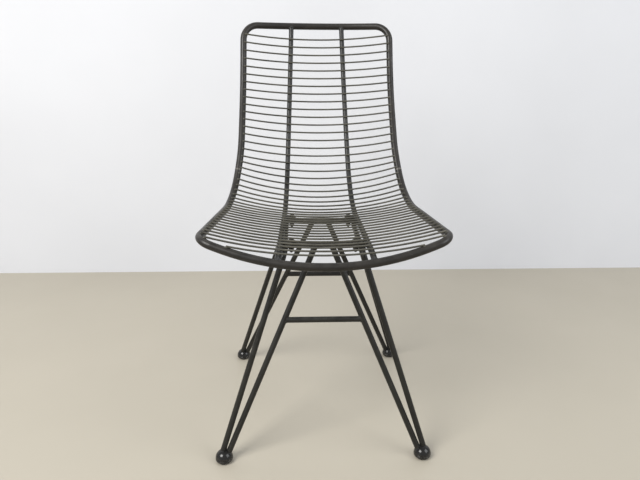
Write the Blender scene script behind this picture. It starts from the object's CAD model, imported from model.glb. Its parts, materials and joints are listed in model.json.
"""Wire mesh chair, dressed: painted bars and wires, weld beads, ball feet, pads and fasteners.

Metres. X points right, Y back, Z up, the floor is at zero, and the sitter faces -Y.
"""
import bmesh
import bpy
import json
import math
import numpy as np
from bpy.props import FloatProperty, FloatVectorProperty, IntProperty, PointerProperty
from mathutils import Matrix, Vector
from mathutils.bvhtree import BVHTree


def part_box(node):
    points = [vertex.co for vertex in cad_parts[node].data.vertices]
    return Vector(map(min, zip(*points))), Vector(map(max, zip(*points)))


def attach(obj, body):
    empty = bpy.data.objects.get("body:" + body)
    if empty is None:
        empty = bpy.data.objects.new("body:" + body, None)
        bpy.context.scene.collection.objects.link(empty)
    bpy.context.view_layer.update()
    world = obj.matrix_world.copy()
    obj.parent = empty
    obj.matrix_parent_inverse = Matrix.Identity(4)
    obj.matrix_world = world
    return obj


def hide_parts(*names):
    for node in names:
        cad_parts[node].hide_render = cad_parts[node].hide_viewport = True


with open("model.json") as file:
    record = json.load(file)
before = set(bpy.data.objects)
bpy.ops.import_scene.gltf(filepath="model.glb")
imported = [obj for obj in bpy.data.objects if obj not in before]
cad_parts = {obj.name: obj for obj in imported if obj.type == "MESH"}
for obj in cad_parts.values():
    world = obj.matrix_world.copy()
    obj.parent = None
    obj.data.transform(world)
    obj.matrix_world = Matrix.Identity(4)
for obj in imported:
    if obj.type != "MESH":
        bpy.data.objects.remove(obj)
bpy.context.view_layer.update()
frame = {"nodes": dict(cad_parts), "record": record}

bl_info = {
    "name": "Wire mesh chair",
    "version": (1, 0, 0),
    "blender": (4, 5, 0),
    "location": "3D View > Sidebar > Chair",
    "description": "Dresses a chair of bent rods and wires with paint, welds, feet and fasteners",
    "category": "Add Mesh",
}

MM = 0.001
HANDS = (("left", -1), ("right", 1))
ENDS = ("front", "rear")
TUBE_RADIUS = 8.0 * MM
ROD_RADIUS = 6.0 * MM
WIRE_RADIUS = 1.9 * MM
TAB_THICKNESS = 3.0 * MM
# Distances from the chair's middle
BOLT_OFFSET = 65.0 * MM
SIDE_BAR_OFFSET = 78.5 * MM
LEG_TOP_OFFSET = 16.0 * MM
# Where on half a wire, from its middle to its end, it meets a spine and the side tube
SPINE_SPAN = (0.12, 0.75)
RAIL_SPAN = (0.85, 0.995)
HEXAGON_POINTS = 48


def colour(name, description, value):
    """A paint or floor colour, in linear light."""
    return FloatVectorProperty(name=name, description=description, default=value, subtype="COLOR",
                               size=3, min=0.0, max=1.0)


def length(name, description, millimetres):
    """A size in millimetres, kept in metres."""
    return FloatProperty(name=name, description=description, default=millimetres * MM,
                         unit="LENGTH", min=0.0, precision=5)


def share(name, description, value):
    """A number from 0 to 1."""
    return FloatProperty(name=name, description=description, default=value, subtype="FACTOR",
                         min=0.0, max=1.0)


def turn(name, description, degrees):
    """An angle in degrees, kept in radians."""
    return FloatProperty(name=name, description=description, default=math.radians(degrees),
                         subtype="ANGLE")


def power(name, description, watts):
    """The power of a lamp."""
    return FloatProperty(name=name, description=description, default=watts, unit="POWER", min=0.0)


class PaintSettings(bpy.types.PropertyGroup):
    tube_colour: colour("Tube paint", "Dark paint on the bent side tube", (0.0150, 0.0130, 0.0110))
    wire_colour: colour("Wire paint", "Paint on the cross wires, a little olive",
                        (0.062, 0.059, 0.047))
    spine_colour: colour("Spine paint", "Paint on the two spines", (0.0165, 0.0165, 0.0160))
    base_colour: colour("Base paint", "Paint on the legs, crossbars and stretchers",
                        (0.0105, 0.0100, 0.0080))
    steel_colour: colour("Fastener steel", "Blackened steel of the bolts, nuts and washers",
                         (0.045, 0.044, 0.042))
    gloss: share("Roughness", "How dull the paint is", 0.38)
    orange_peel: length("Orange peel", "Height of the fine waves in the paint", 0.05)


class WeldSettings(bpy.types.PropertyGroup):
    spine_weld_length: length("Spine weld length",
                              "Weld between a wire and a spine, along the wire", 5.6)
    spine_weld_width: length("Spine weld width", "Weld between a wire and a spine, along the spine",
                             5.4)
    spine_weld_height: length("Spine weld height", "Weld between a wire and a spine, thickness",
                              2.6)
    rail_weld_length: length("Rail weld length", "Weld at a wire's end, along the wire", 8.0)
    rail_weld_width: length("Rail weld width", "Weld at a wire's end, along the side tube", 5.6)
    rail_weld_height: length("Rail weld height", "Weld at a wire's end, thickness", 3.0)
    bead_width: length("Bead width", "Width of a weld bead between two rods", 4.6)
    bead_height: length("Bead height", "Height of a weld bead between two rods", 2.2)
    ripple_pitch: length("Ripple pitch", "Spacing of the ripples in a weld bead", 1.5)
    butt_width: length("Butt weld width", "Width of the ring where the two hoops meet", 5.0)
    butt_height: length("Butt weld height", "How far that ring stands out of the tube", 0.35)
    drop_unevenness: share("Drop unevenness", "How much the drops of weld differ", 0.14)
    ripple_unevenness: share("Ripple unevenness", "How much the ripples of a bead differ", 0.10)
    seed: IntProperty(name="Seed", description="Seed of the uneven welds", default=7, min=0)


class FootSettings(bpy.types.PropertyGroup):
    gloss_colour: colour("Foot colour", "Glossy black of the ball feet", (0.0090, 0.0085, 0.0078))
    rubber_colour: colour("Pad colour", "Matt rubber of the floor pads", (0.020, 0.020, 0.020))
    ball_diameter: length("Ball diameter", "Diameter of a ball foot", 36.0)
    ball_centre: length("Ball centre", "Height of the ball's centre over the floor", 8.0)
    band_top: length("Band top", "Height of the seam between the ball's band and its dome", 10.0)
    seam_depth: length("Seam depth", "Depth of that seam", 0.55)
    pad_diameter: length("Pad diameter", "Diameter of the floor pad", 28.0)
    pad_height: length("Pad height", "Height of the floor pad", 4.0)


class FastenerSettings(bpy.types.PropertyGroup):
    across_flats: length("Across flats", "Width of the bolt heads and nuts", 10.0)
    head_height: length("Head height", "Height of a bolt head", 4.0)
    nut_height: length("Nut height", "Height of a nut", 5.0)
    shank_diameter: length("Shank diameter", "Outer diameter of the thread", 6.0)
    thread_pitch: length("Thread pitch", "Rise of the thread in one turn", 1.0)
    washer_diameter: length("Washer diameter", "Diameter of a washer", 12.0)
    washer_height: length("Washer height", "Thickness of a washer", 1.2)
    washer_hole: length("Washer hole", "Hole in a washer", 6.6)
    tip_length: length("Tip", "Bolt that shows below the nut", 3.0)


class StageSettings(bpy.types.PropertyGroup):
    floor_colour: colour("Floor", "Plain pale floor", (0.42, 0.385, 0.315))
    wall_colour: colour("Wall", "Plain pale backdrop", (0.66, 0.67, 0.70))
    wall_distance: length("Wall distance", "Backdrop behind the chair's middle", 800.0)
    camera_place: FloatVectorProperty(name="Camera place", subtype="TRANSLATION",
                                      description="Where the photograph was taken from",
                                      default=(-0.0529, -1.2134, 0.7864))
    camera_yaw: turn("Camera yaw", "Turn to the left, seen from above", -2.53)
    camera_pitch: turn("Camera pitch", "Tilt down", 18.11)
    camera_roll: turn("Camera roll", "Lean to the left", 0.41)
    camera_lens: FloatProperty(name="Lens", default=30.44, min=10.0,
                               description="Focal length in millimetres, on a 36 mm sensor")
    key_power: power("Key light", "Power of the large lamp at the front left", 104.0)
    fill_power: power("Fill light", "Power of the large lamp at the right", 36.0)
    sky_strength: FloatProperty(name="Room light", default=0.62,
                                description="Strength of the even light of the room")


class ChairSettings(bpy.types.PropertyGroup):
    paint: PointerProperty(type=PaintSettings, name="Paint",
                           description="Paint of the bars and wires")
    weld: PointerProperty(type=WeldSettings, name="Welds", description="Sizes of the welds")
    foot: PointerProperty(type=FootSettings, name="Feet", description="Sizes of the feet and pads")
    fastener: PointerProperty(type=FastenerSettings, name="Fasteners",
                              description="Sizes of the bolts")
    stage: PointerProperty(type=StageSettings, name="Stage", description="Floor, lamps and camera")


# Materials

class Shading:
    """A material under construction, its patterns placed by the piece's own coordinates."""

    def __init__(self, name):
        self.material = bpy.data.materials.get(name) or bpy.data.materials.new(name)
        self.material.use_nodes = True
        self.tree = self.material.node_tree
        self.tree.nodes.clear()
        self.output = self.node("ShaderNodeOutputMaterial")
        self.shader = self.node("ShaderNodeBsdfPrincipled")
        self.tree.links.new(self.shader.outputs["BSDF"], self.output.inputs["Surface"])
        self.place = self.node("ShaderNodeTexCoord").outputs["Object"]

    def node(self, kind, **settings):
        node = self.tree.nodes.new(kind)
        for key, value in settings.items():
            setattr(node, key, value)
        return node

    def link(self, source, target):
        self.tree.links.new(source, target)

    def product(self, one, two):
        node = self.node("ShaderNodeMath", operation="MULTIPLY")
        self.link(one, node.inputs[0])
        self.link(two, node.inputs[1])
        return node.outputs[0]

    def noise(self, scale, detail, roughness=0.5, place=None):
        node = self.node("ShaderNodeTexNoise")
        node.inputs["Scale"].default_value = scale
        node.inputs["Detail"].default_value = detail
        node.inputs["Roughness"].default_value = roughness
        self.link(place or self.place, node.inputs["Vector"])
        return node.outputs["Fac"]

    def clouds(self, scale, detail, low, high, to_low=0.0, to_high=1.0):
        """Noise, with its middle range stretched between two values."""
        return self.spread(self.noise(scale, detail), low, high, to_low, to_high)

    def spread(self, value, low, high, to_low=0.0, to_high=1.0):
        node = self.node("ShaderNodeMapRange", clamp=True)
        self.link(value, node.inputs["Value"])
        for name, number in (("From Min", low), ("From Max", high), ("To Min", to_low),
                             ("To Max", to_high)):
            node.inputs[name].default_value = number
        return node.outputs["Result"]

    def blend(self, factor, one, two):
        """A colour between two, each a colour or a node's output."""
        node = self.node("ShaderNodeMix", data_type="RGBA")
        self.link(factor, node.inputs[0])
        for socket, value in ((node.inputs[6], one), (node.inputs[7], two)):
            if isinstance(value, bpy.types.NodeSocket):
                self.link(value, socket)
            else:
                socket.default_value = (*value, 1.0)
        return node.outputs[2]

    def bump(self, height, distance, strength, under=None):
        node = self.node("ShaderNodeBump")
        node.inputs["Distance"].default_value = distance
        node.inputs["Strength"].default_value = strength
        self.link(height, node.inputs["Height"])
        if under is not None:
            self.link(under, node.inputs["Normal"])
        return node.outputs["Normal"]

    def upward(self):
        """How far the surface faces up, from 0 to 1."""
        normal = self.node("ShaderNodeNewGeometry").outputs["Normal"]
        split = self.node("ShaderNodeSeparateXYZ")
        self.link(normal, split.inputs[0])
        return self.spread(split.outputs["Z"], 0.0, 1.0)

    def finish(self, **sockets):
        """The material, with sockets linked or set; underscores stand for their names' spaces."""
        for name, value in sockets.items():
            socket = self.shader.inputs[name.replace("_", " ")]
            if isinstance(value, bpy.types.NodeSocket):
                self.link(value, socket)
            else:
                socket.default_value = value
        return self.material


def shade(base, factor):
    """A colour made lighter or darker."""
    return tuple(min(1.0, part * factor) for part in base)


def painted(name, base, paint, rub, dust):
    """Semi-gloss dark paint: cloudy tone, fine orange peel, rubbed specks, a little dust on top."""
    look = Shading(name)
    cloud = look.clouds(14.0, 4.0, 0.32, 0.68)
    tone = look.blend(cloud, shade(base, 0.70), shade(base, 1.35))
    grain = look.clouds(420.0, 2.0, 0.58, 0.74, 0.0, rub)
    patches = look.clouds(38.0, 3.0, 0.52, 0.66)
    rubbed = look.blend(look.product(grain, patches), tone, (0.085, 0.078, 0.066))
    dusty = look.product(look.upward(), look.clouds(65.0, 5.0, 0.40, 0.75, 0.0, dust))
    peel = look.bump(look.noise(950.0, 2.0), paint.orange_peel, 0.55)
    return look.finish(
        Base_Color=look.blend(dusty, rubbed, (0.22, 0.205, 0.175)),
        Roughness=look.clouds(55.0, 4.0, 0.30, 0.70, paint.gloss - 0.06, paint.gloss + 0.12),
        Normal=look.bump(look.noise(160.0, 2.0), paint.orange_peel * 2.0, 0.35, peel),
        Specular_IOR_Level=0.32, Coat_Weight=0.08, Coat_Roughness=0.18)


def ground_weld(name, base, paint):
    """Paint over a ring that was ground flush: fine turned lines and a lighter, worn tone."""
    look = Shading(name)
    streak = look.node("ShaderNodeMapping")
    streak.inputs["Scale"].default_value = (1.0, 9.0, 9.0)
    look.link(look.place, streak.inputs["Vector"])
    lines = look.noise(240.0, 3.0, 0.6, streak.outputs["Vector"])
    tone = look.blend(look.spread(lines, 0.35, 0.70), shade(base, 1.3), (0.21, 0.195, 0.17))
    return look.finish(Base_Color=tone, Roughness=look.spread(lines, 0.3, 0.7, 0.28, 0.46),
                       Normal=look.bump(lines, paint.orange_peel, 0.6), Metallic=0.35)


def blackened_steel(name, base):
    """Oiled black steel with brighter specks."""
    look = Shading(name)
    cloud = look.clouds(180.0, 4.0, 0.35, 0.70)
    return look.finish(
        Base_Color=look.blend(cloud, shade(base, 0.7), shade(base, 1.7)),
        Roughness=look.clouds(300.0, 3.0, 0.3, 0.7, 0.30, 0.48),
        Normal=look.bump(look.noise(1400.0, 2.0), 0.03 * MM, 0.5), Metallic=0.85)


def glossy_foot(name, base):
    """Glossy moulded black, with faint swirls and scuffs low on the band."""
    look = Shading(name)
    split = look.node("ShaderNodeSeparateXYZ")
    look.link(look.place, split.inputs[0])
    low = look.spread(split.outputs["Z"], 0.004, 0.016, 1.0, 0.0)
    scuff = look.product(low, look.spread(look.noise(260.0, 4.0, 0.6), 0.50, 0.72, 0.0, 0.5))
    tone = look.blend(look.clouds(70.0, 3.0, 0.35, 0.65), shade(base, 0.8), shade(base, 1.3))
    dull = look.node("ShaderNodeMath", operation="MULTIPLY_ADD")
    look.link(scuff, dull.inputs[0])
    dull.inputs[1].default_value = 0.6
    look.link(look.clouds(110.0, 3.0, 0.3, 0.7, 0.10, 0.20), dull.inputs[2])
    return look.finish(
        Base_Color=look.blend(scuff, tone, (0.17, 0.16, 0.14)), Roughness=dull.outputs[0],
        Normal=look.bump(look.noise(240.0, 2.0), 0.10 * MM, 0.35),
        Specular_IOR_Level=0.35, Coat_Weight=0.12, Coat_Roughness=0.06)


def matt_rubber(name, base):
    """Matt black rubber with a fine grain and floor dust."""
    look = Shading(name)
    return look.finish(
        Base_Color=look.blend(look.clouds(500.0, 4.0, 0.45, 0.75), base, (0.10, 0.095, 0.085)),
        Roughness=look.clouds(220.0, 3.0, 0.3, 0.7, 0.70, 0.88),
        Normal=look.bump(look.noise(900.0, 3.0), 0.12 * MM, 0.6))


# Meshes

def coat(slot):
    """The paint or other finish that belongs to a material slot."""
    return bpy.data.materials[slot + "_coat"]


def scene_object(name, data):
    """A new object in the scene."""
    thing = bpy.data.objects.new(name, data)
    bpy.context.scene.collection.objects.link(thing)
    return thing


def new_piece(name, mesh):
    """A finished piece at the origin, riding on the chair."""
    piece = scene_object(name, mesh)
    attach(piece, "root")
    return piece


def plain_mesh(name, points, faces):
    mesh = bpy.data.meshes.new(name)
    mesh.from_pydata([tuple(point) for point in points], [], faces)
    mesh.validate()
    return mesh


def smooth(mesh, degrees):
    """Smooth faces, with edges sharper than an angle kept crisp."""
    mesh.polygons.foreach_set("use_smooth", [True] * len(mesh.polygons))
    mesh.set_sharp_from_angle(angle=math.radians(degrees))
    mesh.update()


def with_vectors(mesh, **named):
    """Direction attributes, one vector to a point."""
    for name, vectors in named.items():
        attribute = mesh.attributes.new(name, "FLOAT_VECTOR", "POINT")
        attribute.data.foreach_set("vector", np.array(vectors, np.float32).ravel())


def evaluated(mesh, tree, inputs):
    """The plain mesh that a geometry tree makes from a mesh, its inputs set by name."""
    holder = scene_object("holder", mesh)
    modifier = holder.modifiers.new("tree", "NODES")
    modifier.node_group = tree
    for item in tree.interface.items_tree:
        if item.item_type == "SOCKET" and item.in_out == "INPUT" and item.name in inputs:
            modifier[item.identifier] = inputs[item.name]
    holder.update_tag()
    graph = bpy.context.evaluated_depsgraph_get()
    graph.update()
    result = bpy.data.meshes.new_from_object(holder.evaluated_get(graph), depsgraph=graph)
    holder.modifiers.clear()
    bpy.data.objects.remove(holder)
    return result


class GeometryTree:
    """A geometry tree under construction, with named inputs."""

    def __init__(self, name, inputs):
        self.tree = bpy.data.node_groups.new(name, "GeometryNodeTree")
        new_socket = self.tree.interface.new_socket
        new_socket("Geometry", in_out="INPUT", socket_type="NodeSocketGeometry")
        for label, (kind, value) in inputs.items():
            socket = new_socket(label, in_out="INPUT", socket_type="NodeSocket" + kind)
            if value is not None:
                socket.default_value = value
        new_socket("Geometry", in_out="OUTPUT", socket_type="NodeSocketGeometry")
        self.given = self.tree.nodes.new("NodeGroupInput").outputs
        self.result = self.tree.nodes.new("NodeGroupOutput").inputs["Geometry"]

    def node(self, kind, settings=None, **values):
        """A node, with its sockets set or linked by name."""
        node = self.tree.nodes.new(kind)
        for key, value in (settings or {}).items():
            setattr(node, key, value)
        for label, value in values.items():
            self.feed(node, label.replace("_", " "), value)
        return node

    def feed(self, node, label, value):
        socket = node.inputs[label] if isinstance(label, int) else next(
            item for item in node.inputs if item.name == label and item.enabled)
        if isinstance(value, bpy.types.NodeSocket):
            self.tree.links.new(value, socket)
        else:
            socket.default_value = value

    def maths(self, operation, one, two):
        node = self.tree.nodes.new("ShaderNodeMath")
        node.operation = operation
        self.feed(node, 0, one)
        self.feed(node, 1, two)
        return node.outputs[0]

    def vector(self, x, y, z):
        return self.node("ShaderNodeCombineXYZ", X=x, Y=y, Z=z).outputs[0]

    def uneven(self, kind):
        """A random size about one on each point, as the outputs for vectors and for numbers."""
        low, high = (self.maths(way, 1.0, self.given["Unevenness"]) for way in ("SUBTRACT", "ADD"))
        if kind == "FLOAT_VECTOR":
            low, high = self.vector(low, low, low), self.vector(high, high, high)
        return self.node("FunctionNodeRandomValue", {"data_type": kind}, Min=low, Max=high,
                         Seed=self.given["Seed"]).outputs

    def direction(self, name):
        return self.node("GeometryNodeInputNamedAttribute", {"data_type": "FLOAT_VECTOR"},
                         Name=name).outputs["Attribute"]

    def facing(self, out, along):
        """A turn whose Z axis points out, and whose X axis runs along."""
        up = self.node("FunctionNodeAlignRotationToVector", {"axis": "Z"}, Vector=out)
        return self.node("FunctionNodeAlignRotationToVector", {"axis": "X", "pivot_axis": "Z"},
                         Rotation=up.outputs[0], Vector=along).outputs[0]

    def finish(self, geometry, soft=True):
        """Real geometry with its material, smooth where it is soft, as the tree's result."""
        real = self.node("GeometryNodeRealizeInstances", Geometry=geometry)
        if soft:
            real = self.node("GeometryNodeSetShadeSmooth", Geometry=real.outputs[0])
        done = self.node("GeometryNodeSetMaterial", Geometry=real.outputs[0],
                         Material=self.given["Material"])
        self.tree.links.new(done.outputs[0], self.result)
        return self.tree


def weld_tree():
    """One squashed, slightly uneven drop of weld on each point of a mesh."""
    build = GeometryTree("weld_drops", {
        "Length": ("Float", 5 * MM), "Width": ("Float", 5 * MM), "Height": ("Float", 2 * MM),
        "Unevenness": ("Float", 0.14), "Seed": ("Int", 1), "Material": ("Material", None)})
    drop = build.node("GeometryNodeMeshUVSphere", Segments=10, Rings=6, Radius=0.5)
    scale = build.node("ShaderNodeVectorMath", {"operation": "MULTIPLY"})
    build.feed(scale, 0, build.uneven("FLOAT_VECTOR")[0])
    build.feed(scale, 1,
               build.vector(build.given["Length"], build.given["Width"], build.given["Height"]))
    drops = build.node("GeometryNodeInstanceOnPoints", Points=build.given["Geometry"],
                       Instance=drop.outputs["Mesh"],
                       Rotation=build.facing(build.direction("out"), build.direction("along")),
                       Scale=scale.outputs[0])
    return build.finish(drops.outputs[0])


def bead_tree():
    """A weld bead along the edges of a mesh: overlapping ripples, each a tilted flat drop."""
    build = GeometryTree("weld_beads", {
        "Pitch": ("Float", 1.5 * MM), "Width": ("Float", 4 * MM), "Height": ("Float", 2 * MM),
        "Unevenness": ("Float", 0.10), "Seed": ("Int", 1), "Material": ("Material", None)})
    path = build.node("GeometryNodeMeshToCurve", Mesh=build.given["Geometry"])
    steps = build.node("GeometryNodeResampleCurve", {"mode": "LENGTH"}, Curve=path.outputs[0],
                       Length=build.given["Pitch"])
    ripple = build.node("GeometryNodeMeshUVSphere", Segments=10, Rings=6, Radius=0.5)
    lean = build.node("GeometryNodeTransform", Geometry=ripple.outputs["Mesh"],
                      Scale=build.vector(build.maths("MULTIPLY", build.given["Pitch"], 2.1),
                                         build.given["Width"], build.given["Height"]))
    tilt = build.node("GeometryNodeTransform", Geometry=lean.outputs[0], Rotation=(0.0, 0.30, 0.0))
    ripples = build.node("GeometryNodeInstanceOnPoints", Points=steps.outputs[0],
                         Instance=tilt.outputs[0],
                         Rotation=build.facing(build.direction("out"),
                                               build.node("GeometryNodeInputTangent").outputs[0]),
                         Scale=build.uneven("FLOAT")[1])
    return build.finish(ripples.outputs[0])


def copies_tree():
    """The same piece on every point of a mesh."""
    build = GeometryTree("copies", {"Piece": ("Object", None), "Material": ("Material", None)})
    source = build.node("GeometryNodeObjectInfo", Object=build.given["Piece"])
    placed = build.node("GeometryNodeInstanceOnPoints", Points=build.given["Geometry"],
                        Instance=source.outputs["Geometry"])
    return build.finish(placed.outputs[0], False)


def repeated(name, mesh, points, material):
    """A mesh copied to points, as one mesh."""
    source = scene_object(name + "_one", mesh)
    result = evaluated(plain_mesh(name + "_points", points, []), copies_tree(),
                       {"Piece": source, "Material": material})
    bpy.data.objects.remove(source)
    return result


# Reading the frame

def solids(node):
    """The separate solids of a node, each as an array of its points."""
    build = bmesh.new()
    build.from_mesh(frame["nodes"][node].data)
    bmesh.ops.remove_doubles(build, verts=build.verts, dist=1e-6)
    seen = set()
    found = []
    for first in build.verts:
        island, waiting = [], [first]
        while waiting:
            vert = waiting.pop()
            if vert not in seen:
                seen.add(vert)
                island.append(tuple(vert.co))
                waiting += [edge.other_vert(vert) for edge in vert.link_edges]
        if island:
            found.append(np.array(island))
    build.free()
    return found


def surface(node):
    """A node's surface, to look up the nearest place on it."""
    mesh = frame["nodes"][node].data
    return BVHTree.FromPolygons([vert.co for vert in mesh.vertices],
                                [tuple(face.vertices) for face in mesh.polygons])


class WireArc:
    """The centre line of a cross wire: a circle in a leaning plane."""

    def __init__(self, points):
        self.middle = points.mean(0)
        self.middle[0] = 0.0
        _, _, axes = np.linalg.svd(points - points.mean(0), full_matrices=False)
        normal = axes[2]
        normal[0] = 0.0
        normal /= np.linalg.norm(normal)
        self.square = np.cross(normal, (1.0, 0.0, 0.0))
        across = points[:, 0]
        rise = (points - self.middle) @ self.square
        solution = np.linalg.lstsq(np.c_[2 * rise, np.ones(len(rise))], across ** 2 + rise ** 2,
                                   rcond=None)[0]
        self.centre = solution[0]
        self.radius = math.sqrt(solution[1] + solution[0] ** 2)
        if self.centre < 0:
            self.square, self.centre = -self.square, -self.centre
        self.end = math.asin(min(1.0, np.abs(across).max() / (self.radius + WIRE_RADIUS)))

    def place(self, angle):
        """Point and direction on the centre line."""
        point = (self.middle + self.square * (self.centre - self.radius * math.cos(angle))
                 + np.array((self.radius * math.sin(angle), 0.0, 0.0)))
        way = self.square * math.sin(angle) + np.array((math.cos(angle), 0.0, 0.0))
        return Vector(point), Vector(way)


def wire_arcs():
    """Every cross wire's centre line, from the front."""
    return [WireArc(points) for node in sorted(frame["nodes"].keys())
            if node.startswith("wires_") for points in solids(node)]


def contact(arc, bars, span):
    """Where a wire touches a bar: the place, the way out to the wire, and the wire's direction."""
    low, high = arc.end * span[0], arc.end * span[1]
    steps = 120
    best = None
    for step in range(steps + 1):
        angle = low + (high - low) * step / steps
        point, way = arc.place(angle)
        for bar in bars:
            hit, _, _, distance = bar.find_nearest(point)
            if hit is not None and (best is None or distance < best[0]):
                best = (distance, hit, (point - hit).normalized(), way)
    return best[1:]


def seam_points(node, target, reach=0.12 * MM):
    """A node's points that lie on another node's surface, with that surface's direction."""
    other = surface(target)
    mesh = frame["nodes"][node].data
    found = {}
    for vert in mesh.vertices:
        hit, normal, _, distance = other.find_nearest(vert.co)
        if hit is not None and distance < reach:
            found[tuple(round(part, 6) for part in vert.co)] = (Vector(vert.co), normal.copy())
    return list(found.values())


def ring(points, axis_point, axis, radius, rim=0.93):
    """The outer points round an axis, in order, with their directions out from the axis.

    A point counts as outer from the rim on, a share of the radius.
    """
    axis = axis.normalized()
    side = axis.orthogonal().normalized()
    up = axis.cross(side)
    placed = []
    for point, normal in points:
        arm = point - axis_point
        arm -= axis * arm.dot(axis)
        if arm.length > radius * rim:
            angle = math.atan2(arm.dot(up), arm.dot(side))
            placed.append((angle, point, (arm.normalized() + normal).normalized()))
    placed.sort(key=lambda item: item[0])
    return [(point, out) for _, point, out in placed]


def paths_mesh(name, paths):
    """Open or closed paths as one mesh of edges, with the way out at each point."""
    points, edges, outs = [], [], []
    for path, closed in paths:
        start = len(points)
        points += [tuple(point) for point, _ in path]
        outs += [tuple(out) for _, out in path]
        count = len(path)
        edges += [(start + index, start + index + 1) for index in range(count - 1)]
        if closed:
            edges.append((start + count - 1, start))
    mesh = bpy.data.meshes.new(name)
    mesh.from_pydata(points, edges, [])
    with_vectors(mesh, out=outs)
    return mesh


def rod_places():
    """Axes of the crossbars and the feet, read from the frame's boxes."""
    places = {}
    for end in ENDS:
        low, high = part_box("crossbar_" + end)
        places["crossbar", end] = (low + high) / 2
        for hand, _ in HANDS:
            low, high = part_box("foot_pad_%s_%s" % (end, hand))
            places["foot", end, hand] = (low + high) / 2
    return places


def leg_axis(end, hand, side, places):
    """A low point and the direction of an inner leg's axis."""
    foot = places["foot", end, hand]
    cross = places["crossbar", end]
    height, overlap = 10 * MM, 0.05 * MM
    low = Vector((foot.x - side * (ROD_RADIUS - overlap), foot.y, height))
    top = Vector((side * LEG_TOP_OFFSET, cross.y, cross.z))
    return low, (top - low).normalized()


def crossing_beads(crossbar, side):
    """Two short beads in the crevices where a crossbar rests on a side bar."""
    half_length, gap, lift = 5.5 * MM, 3.2 * MM, 0.6 * MM
    steps = 5
    paths = []
    for out in (-1, 1):
        way_out = Vector((0.0, out * 0.8, -0.6)).normalized()
        path = []
        for step in range(-steps, steps + 1):
            along = step / steps * half_length
            sag = ROD_RADIUS - math.sqrt(ROD_RADIUS ** 2 - (along * 0.75) ** 2)
            path.append((Vector((side * SIDE_BAR_OFFSET + along, crossbar.y + out * gap,
                                 crossbar.z - ROD_RADIUS + lift - sag)), way_out))
        paths.append((path, False))
    return paths


def spine_way(node, place, reach=40 * MM):
    """Direction of a spine near a place, from the points of its mesh within reach."""
    near = np.array([tuple(vert.co) for vert in frame["nodes"][node].data.vertices
                     if (vert.co - place).length < reach])
    return Vector(np.linalg.svd(near - near.mean(0), full_matrices=False)[2][0])


def bolt_points():
    """Where the four bolts stand, at the top of their crossbars."""
    places = rod_places()
    return [Vector((side * BOLT_OFFSET, places["crossbar", end].y,
                    places["crossbar", end].z + ROD_RADIUS))
            for end in ENDS for _, side in HANDS]


# Pieces turned round an axis

def circle(radius, height, count, start=0.0):
    """Evenly spaced points round Z; a start of a half sets them half a space on."""
    angles = [2 * math.pi * (step + start) / count for step in range(count)]
    return [(radius * math.cos(angle), radius * math.sin(angle), height) for angle in angles]


def stacked_mesh(name, levels, looped=False):
    """Faces between rings of points with equal counts; the ends closed, or joined in a loop."""
    points = [point for level in levels for point in level]
    count = len(levels[0])
    last = len(levels) - 1
    faces = []
    for lower in range(last + 1 if looped else last):
        upper = (lower + 1) % (last + 1)
        for step in range(count):
            after = (step + 1) % count
            faces.append((lower * count + step, lower * count + after,
                          upper * count + after, upper * count + step))
    for first, below in () if looped else ((0, True), (last * count, False)):
        points.append(np.mean(points[first:first + count], axis=0))
        for step in range(count):
            face = (len(points) - 1, first + step, first + (step + 1) % count)
            faces.append(face[::-1] if below else face)
    return plain_mesh(name, points, faces)


def turned_mesh(name, outline, segments):
    """A closed solid turned round Z from an outline of (radius, height), from the bottom up."""
    return stacked_mesh(name, [circle(radius, height, segments) for radius, height in outline])


def joined(name, meshes):
    """Several meshes as one."""
    build = bmesh.new()
    for mesh in meshes:
        build.from_mesh(mesh)
    whole = bpy.data.meshes.new(name)
    build.to_mesh(whole)
    build.free()
    return whole


def hexagon_rings(across, low, high, chamfered_below=True):
    """Rings of a hexagon whose corners are turned off, from the bottom up."""
    inner = across * 0.475
    slope = math.tan(math.radians(30))
    sixth = math.pi / 3
    corners = []
    for x, y, _ in circle(1.0, 0.0, HEXAGON_POINTS, 0.5):
        from_flat = (math.atan2(y, x) + sixth / 2) % sixth - sixth / 2
        reach = across / 2 / math.cos(from_flat)
        corners.append((reach * x, reach * y, (reach - inner) * slope))
    rings = [[(x, y, low + (drop if chamfered_below else 0.0)) for x, y, drop in corners],
             [(x, y, high - drop) for x, y, drop in corners],
             circle(inner, high, HEXAGON_POINTS, 0.5)]
    return [circle(inner, low, HEXAGON_POINTS, 0.5)] + rings if chamfered_below else rings


def thread_reach(angle, height, radius, pitch):
    """Distance of a thread's surface from its axis."""
    turned = (height / pitch - angle / (2 * math.pi)) % 1.0
    depth = pitch * 0.54
    return radius - depth * min(1.0, max(0.0, abs(turned - 0.5) * 2.4 - 0.15))


def bolt_mesh(settings):
    """A hexagon bolt: chamfered head above zero, plain shank, thread and chamfered tip below."""
    lowest = -(2 * ROD_RADIUS + settings.washer_height + settings.nut_height + settings.tip_length)
    highest = TAB_THICKNESS + 0.5 * MM
    thread_length, tip_chamfer = 14 * MM, 0.9 * MM
    radius = settings.shank_diameter / 2
    head = stacked_mesh("bolt_head", hexagon_rings(
        settings.across_flats, TAB_THICKNESS, TAB_THICKNESS + settings.head_height, False))
    rows, sides = 120, 24
    levels = []
    for row in range(rows + 1):
        z = lowest + (highest - lowest) * row / rows
        tip = min(1.0, 0.72 + 0.28 * (z - lowest) / tip_chamfer)
        level = []
        for step in range(sides):
            angle = 2 * math.pi * step / sides
            reach = radius * 0.985
            if z < lowest + thread_length:
                reach = thread_reach(angle, z, radius, settings.thread_pitch)
            reach = min(reach, radius * tip)
            level.append((reach * math.cos(angle), reach * math.sin(angle), z))
        levels.append(level)
    mesh = joined("bolt", (head, stacked_mesh("bolt_shank", levels)))
    smooth(mesh, 28)
    return mesh


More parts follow.
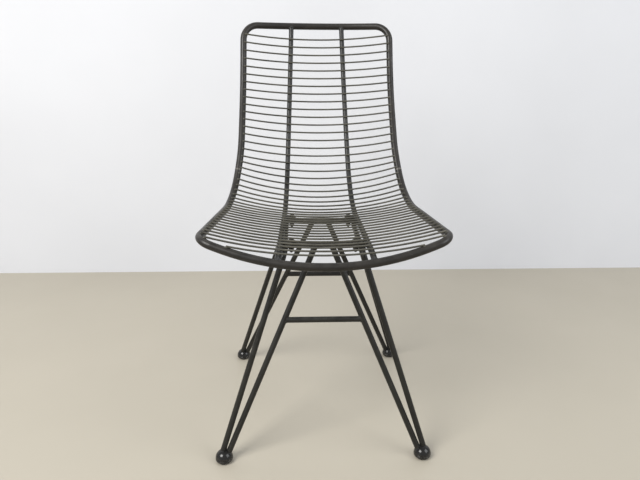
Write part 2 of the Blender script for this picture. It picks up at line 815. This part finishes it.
def washer_mesh(settings):
    """A flat washer with rounded rims, under the crossbar."""
    top = -2 * ROD_RADIUS
    low = top - settings.washer_height
    out = settings.washer_diameter / 2
    hole = settings.washer_hole / 2
    rim = 0.25 * MM
    outline = [(hole + rim, low), (out - rim, low), (out, low + rim), (out, top - rim),
               (out - rim, top), (hole + rim, top), (hole, top - rim), (hole, low + rim)]
    mesh = stacked_mesh("washer", [circle(radius, z, 40) for radius, z in outline], True)
    smooth(mesh, 35)
    return mesh


def nut_mesh(settings):
    """A hexagon nut, chamfered on both faces, round its threaded hole."""
    top = -2 * ROD_RADIUS - settings.washer_height
    low = top - settings.nut_height
    hole = settings.shank_diameter / 2 * 0.96
    mouth = hole * 1.12
    sunk = 0.4 * MM
    bore = [(mouth, top), (hole, top - sunk), (hole, low + sunk), (mouth, low)]
    mesh = stacked_mesh("nut", hexagon_rings(settings.across_flats, low, top) + [
        circle(radius, z, HEXAGON_POINTS, 0.5) for radius, z in bore], True)
    smooth(mesh, 28)
    return mesh


def foot_pieces(node, slot, shape, finish):
    """A copy of a shape at every foot, in place of the plain solid there."""
    places = rod_places()
    for end in ENDS:
        for hand, _ in HANDS:
            spot = places["foot", end, hand]
            solid = "%s_%s_%s" % (node, end, hand)
            mesh = repeated(solid, shape, [(spot.x, spot.y, 0.0)], coat(slot))
            piece = new_piece("%s_%s" % (solid, finish), mesh)
            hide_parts(solid)


# Operators, one to a piece or group of like pieces

class CHAIR_OT_paint_bars(bpy.types.Operator):
    """Paint the bent tube, the wires, the spines and the base"""
    bl_idname = "chair.paint_bars"
    bl_label = "Paint the bars"

    def execute(self, context):
        paint, foot = context.scene.chair.paint, context.scene.chair.foot
        for slot, base, rub, dust in (("tube_paint", paint.tube_colour, 0.55, 0.10),
                                      ("wire_paint", paint.wire_colour, 0.40, 0.40),
                                      ("spine_paint", paint.spine_colour, 0.35, 0.10),
                                      ("base_paint", paint.base_colour, 0.45, 0.12)):
            painted(slot + "_coat", base, paint, rub, dust)
        blackened_steel("fastener_steel_coat", paint.steel_colour)
        glossy_foot("foot_gloss_coat", foot.gloss_colour)
        matt_rubber("pad_rubber_coat", foot.rubber_colour)
        for entry in frame["record"]["subparts"]:
            for slot in frame["nodes"][entry["node"]].material_slots:
                slot.material = coat(entry["material_slot"])
        return {"FINISHED"}


class CHAIR_OT_wire_welds(bpy.types.Operator):
    """Add a drop of weld wherever a wire crosses a spine or ends on the side tube"""
    bl_idname = "chair.wire_welds"
    bl_label = "Weld the wires"

    def execute(self, context):
        weld = context.scene.chair.weld
        rails = [surface("seat_hoop"), surface("back_hoop")]
        spines = [surface("spine_right")]
        tree = weld_tree()
        arcs = wire_arcs()
        for seed, (kind, bars, span) in enumerate(
                (("spine", spines, SPINE_SPAN), ("rail", rails, RAIL_SPAN)), weld.seed):
            found = [contact(arc, bars, span) for arc in arcs]
            points, outs, alongs = (
                [(side * touch[part].x, touch[part].y, touch[part].z)
                 for touch in found for side in (1, -1)] for part in range(3))
            mesh = plain_mesh("weld_points", points, [])
            with_vectors(mesh, out=outs, along=alongs)
            inputs = {label: getattr(weld, "%s_weld_%s" % (kind, label.lower()))
                      for label in ("Length", "Width", "Height")}
            inputs.update({"Unevenness": weld.drop_unevenness, "Seed": seed,
                           "Material": coat("wire_paint")})
            result = evaluated(mesh, tree, inputs)
            result.name = "wire_%s_welds" % kind
            new_piece(result.name, result)
        return {"FINISHED"}


class CHAIR_OT_bar_welds(bpy.types.Operator):
    """Add rippled weld beads where the rods of the base and the spines are joined"""
    bl_idname = "chair.bar_welds"
    bl_label = "Weld the bars"

    def execute(self, context):
        weld = context.scene.chair.weld
        places = rod_places()
        paths = []
        for end in ENDS:
            stretcher = sum(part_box("stretcher_" + end), Vector()) / 2
            for hand, side in HANDS:
                leg = "inner_leg_%s_%s" % (end, hand)
                low, way = leg_axis(end, hand, side, places)
                top = seam_points(leg, "crossbar_" + end)
                paths.append((ring(top, low, way, ROD_RADIUS), True))
                tips = [item for item in seam_points("stretcher_" + end, leg)
                        if item[0].x * side > 0]
                paths.append((ring(tips, stretcher, Vector((1, 0, 0)), ROD_RADIUS), True))
            for _, side in HANDS:
                paths += crossing_beads(places["crossbar", end], side)
        tops = []
        for hand, _ in HANDS:
            spine = "spine_" + hand
            for target in ("seat_hoop", "back_hoop"):
                points = seam_points(spine, target)
                middle = sum((point for point, _ in points), Vector()) / len(points)
                tops.append((ring(points, middle, spine_way(spine, middle), ROD_RADIUS), True))
        tree = bead_tree()
        for name, slot, group in (("base_weld_beads", "base_paint", paths),
                                  ("spine_weld_beads", "spine_paint", tops)):
            result = evaluated(paths_mesh(name, group), tree, {
                "Pitch": weld.ripple_pitch, "Width": weld.bead_width, "Height": weld.bead_height,
                "Unevenness": weld.ripple_unevenness, "Seed": weld.seed + 2,
                "Material": coat(slot)})
            result.name = name
            new_piece(name, result)
        return {"FINISHED"}


class CHAIR_OT_butt_rings(bpy.types.Operator):
    """Add the ring of weld, ground nearly flush, where the two hoops meet on each side tube"""
    bl_idname = "chair.butt_rings"
    bl_label = "Butt welds"

    def execute(self, context):
        weld = context.scene.chair.weld
        paint = context.scene.chair.paint
        finish = ground_weld("ground_weld_coat", paint.tube_colour, paint)
        found = seam_points("seat_hoop", "back_hoop")
        sides, rows = 48, 9
        sunk = 0.12 * MM
        meshes = []
        for _, side in HANDS:
            points = [point for point, _ in found if point.x * side > 0]
            middle = sum(points, Vector()) / len(points)
            spread = np.array([tuple(point - middle) for point in points])
            way = Vector(np.linalg.svd(spread, full_matrices=False)[2][2])
            across = way.orthogonal().normalized()
            up = way.cross(across)
            levels = []
            for row in range(rows):
                part = row / (rows - 1) - 0.5
                centre = middle + way * (part * weld.butt_width)
                swell = weld.butt_height * math.cos(math.pi * part)
                level = []
                for step in range(sides):
                    angle = 2 * math.pi * step / sides
                    wave = 1.0 + 0.25 * math.sin(5 * angle + row) + 0.15 * math.sin(11 * angle)
                    arm = across * math.cos(angle) + up * math.sin(angle)
                    level.append(tuple(centre + arm * (TUBE_RADIUS - sunk + swell * wave)))
                levels.append(level)
            meshes.append(stacked_mesh("butt_weld_ring", levels))
        mesh = joined("butt_weld_rings", meshes)
        smooth(mesh, 50)
        mesh.materials.append(finish)
        new_piece("butt_weld_rings", mesh)
        return {"FINISHED"}


class CHAIR_OT_ball_feet(bpy.types.Operator):
    """Put a ball foot, with a band under its dome, at the end of each pair of rods"""
    bl_idname = "chair.ball_feet"
    bl_label = "Ball feet"

    def execute(self, context):
        foot = context.scene.chair.foot
        radius = foot.ball_diameter / 2
        centre = foot.ball_centre
        floor = foot.pad_height
        seam = foot.band_top

        def sphere(height):
            return math.sqrt(max(0.0, radius ** 2 - (height - centre) ** 2))

        band_low, band_high, dome_low = floor + 0.8 * MM, seam - 0.9 * MM, seam + 0.9 * MM
        outline = [(sphere(floor) * part, floor) for part in (0.35, 0.7, 0.92)]
        outline += [(sphere(floor) * 0.985, floor + 0.15 * MM), (sphere(band_low), band_low)]
        steps = 8
        for step in range(1, steps + 1):
            height = band_low + (band_high - band_low) * step / steps
            outline.append((sphere(height), height))
        for offset, part in ((-0.5, 0.35), (-0.15, 1.0), (0.15, 1.0), (0.5, 0.35)):
            outline.append((sphere(seam) - foot.seam_depth * part, seam + offset * MM))
        steps = 14
        start = math.asin((dome_low - centre) / radius)
        for step in range(steps):
            angle = start + (math.pi / 2 - start) * step / steps
            outline.append((radius * math.cos(angle), centre + radius * math.sin(angle)))
        outline.append((radius * 0.03, centre + radius))
        ball = turned_mesh("ball", outline, 56)
        smooth(ball, 50)
        foot_pieces("ball_foot", "foot_gloss", ball, "domed")
        return {"FINISHED"}


class CHAIR_OT_floor_pads(bpy.types.Operator):
    """Put a round rubber pad with a turned edge and a ring groove under each foot"""
    bl_idname = "chair.floor_pads"
    bl_label = "Floor pads"

    def execute(self, context):
        foot = context.scene.chair.foot
        radius = foot.pad_diameter / 2
        top = foot.pad_height
        outline = [(radius * 0.25, 0.0), (radius * 0.55, 0.0), (radius * 0.60, 0.5 * MM),
                   (radius * 0.70, 0.5 * MM), (radius * 0.75, 0.0), (radius - 0.9 * MM, 0.0),
                   (radius - 0.35 * MM, 0.12 * MM), (radius, 0.7 * MM), (radius, top - 0.5 * MM),
                   (radius - 0.3 * MM, top), (radius * 0.5, top)]
        pad = turned_mesh("pad", outline, 48)
        smooth(pad, 40)
        foot_pieces("foot_pad", "pad_rubber", pad, "turned")
        return {"FINISHED"}


class CHAIR_OT_fasteners(bpy.types.Operator):
    """Put the four bolts with their washers and nuts through the tabs and crossbars"""
    bl_idname = "chair.fasteners"
    bl_label = "Fasteners"

    def execute(self, context):
        settings = context.scene.chair.fastener
        points = bolt_points()
        for node, mesh in (("bolts", bolt_mesh(settings)), ("washers", washer_mesh(settings)),
                           ("nuts", nut_mesh(settings))):
            result = repeated(node, mesh, points, coat("fastener_steel"))
            piece = new_piece(node + "_detailed", result)
            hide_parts(node)
        return {"FINISHED"}


class CHAIR_OT_stage(bpy.types.Operator):
    """Set the floor, the backdrop, the lamps and the camera"""
    bl_idname = "chair.stage"
    bl_label = "Stage"

    def surface_material(self, name, tone, rough):
        """An even surface, clear from behind so that the chair can be seen from there."""
        look = Shading(name)
        mix = look.node("ShaderNodeMixShader")
        look.link(look.node("ShaderNodeNewGeometry").outputs["Backfacing"], mix.inputs[0])
        look.link(look.shader.outputs["BSDF"], mix.inputs[1])
        look.link(look.node("ShaderNodeBsdfTransparent").outputs[0], mix.inputs[2])
        look.link(mix.outputs[0], look.output.inputs["Surface"])
        cloud = look.clouds(1.6, 3.0, 0.3, 0.7)
        return look.finish(
            Base_Color=look.blend(cloud, shade(tone, 0.97), shade(tone, 1.03)),
            Roughness=look.clouds(5.0, 3.0, 0.3, 0.7, rough, rough + 0.08),
            Normal=look.bump(look.noise(60.0, 2.0), 0.15 * MM, 0.2))

    def lamp(self, name, place, side, watts, tint):
        """A square lamp that shines on the seat."""
        data = bpy.data.lights.new(name, "AREA")
        data.shape = "RECTANGLE"
        data.size = data.size_y = side
        data.energy = watts
        data.color = tint
        lamp = scene_object(name, data)
        lamp.location = place
        seat = Vector((0.0, 0.0, 0.4))
        lamp.rotation_euler = (seat - Vector(place)).to_track_quat("-Z", "Y").to_euler()

    def execute(self, context):
        scene = context.scene
        stage = scene.chair.stage
        wide, high, back = 6.0, 5.0, stage.wall_distance
        for name, corners, tone, rough in (
                ("floor", [(-wide, -wide, 0), (wide, -wide, 0), (wide, wide, 0), (-wide, wide, 0)],
                 stage.floor_colour, 0.42),
                ("backdrop",
                 [(-wide, back, 0), (wide, back, 0), (wide, back, high), (-wide, back, high)],
                 stage.wall_colour, 0.85)):
            mesh = plain_mesh(name, corners, [(0, 1, 2, 3)])
            mesh.materials.append(self.surface_material(name + "_surface", tone, rough))
            scene_object(name, mesh)

        world = bpy.data.worlds.new("room")
        scene.world = world
        world.use_nodes = True
        background = world.node_tree.nodes["Background"]
        background.inputs["Color"].default_value = (0.95, 0.97, 1.0, 1.0)
        background.inputs["Strength"].default_value = stage.sky_strength
        self.lamp("key", (-1.9, -1.7, 2.4), 1.6, stage.key_power, (1.0, 0.985, 0.96))
        self.lamp("fill", (2.2, -1.2, 1.9), 1.8, stage.fill_power, (0.96, 0.98, 1.0))

        axes = Matrix.Translation(Vector(stage.camera_place))
        for angle, axis in ((stage.camera_yaw, "Z"), (math.pi / 2 - stage.camera_pitch, "X"),
                            (stage.camera_roll, "Z")):
            axes = axes @ Matrix.Rotation(angle, 4, axis)
        data = bpy.data.cameras.new("photograph")
        data.sensor_fit = "HORIZONTAL"
        data.sensor_width = 36.0
        data.lens = stage.camera_lens
        data.clip_start = 0.05
        camera = scene_object("photograph", data)
        camera.matrix_world = axes
        scene.camera = camera
        scene.view_settings.view_transform = "Standard"
        return {"FINISHED"}


class CHAIR_PT_sidebar(bpy.types.Panel):
    bl_idname = "CHAIR_PT_sidebar"
    bl_label = "Wire mesh chair"
    bl_space_type = "VIEW_3D"
    bl_region_type = "UI"
    bl_category = "Chair"

    def draw(self, context):
        chair = context.scene.chair
        for group in chair.__annotations__:
            settings = getattr(chair, group)
            box = self.layout.box()
            box.label(text=chair.bl_rna.properties[group].name)
            for name in settings.__annotations__:
                box.prop(settings, name)
        for operator in OPERATORS:
            self.layout.operator(operator.bl_idname)


SETTINGS = (PaintSettings, WeldSettings, FootSettings, FastenerSettings, StageSettings,
            ChairSettings)
OPERATORS = (CHAIR_OT_paint_bars, CHAIR_OT_wire_welds, CHAIR_OT_bar_welds, CHAIR_OT_butt_rings,
             CHAIR_OT_ball_feet, CHAIR_OT_floor_pads, CHAIR_OT_fasteners, CHAIR_OT_stage)
CLASSES = SETTINGS + OPERATORS + (CHAIR_PT_sidebar,)


def register():
    for kind in CLASSES:
        bpy.utils.register_class(kind)
    bpy.types.Scene.chair = PointerProperty(type=ChairSettings)


def unregister():
    del bpy.types.Scene.chair
    for kind in reversed(CLASSES):
        bpy.utils.unregister_class(kind)


def main():
    register()
    bpy.ops.chair.paint_bars()
    bpy.ops.chair.wire_welds()
    bpy.ops.chair.bar_welds()
    bpy.ops.chair.butt_rings()
    bpy.ops.chair.ball_feet()
    bpy.ops.chair.floor_pads()
    bpy.ops.chair.fasteners()
    bpy.ops.chair.stage()


if __name__ == "__main__":
    main()
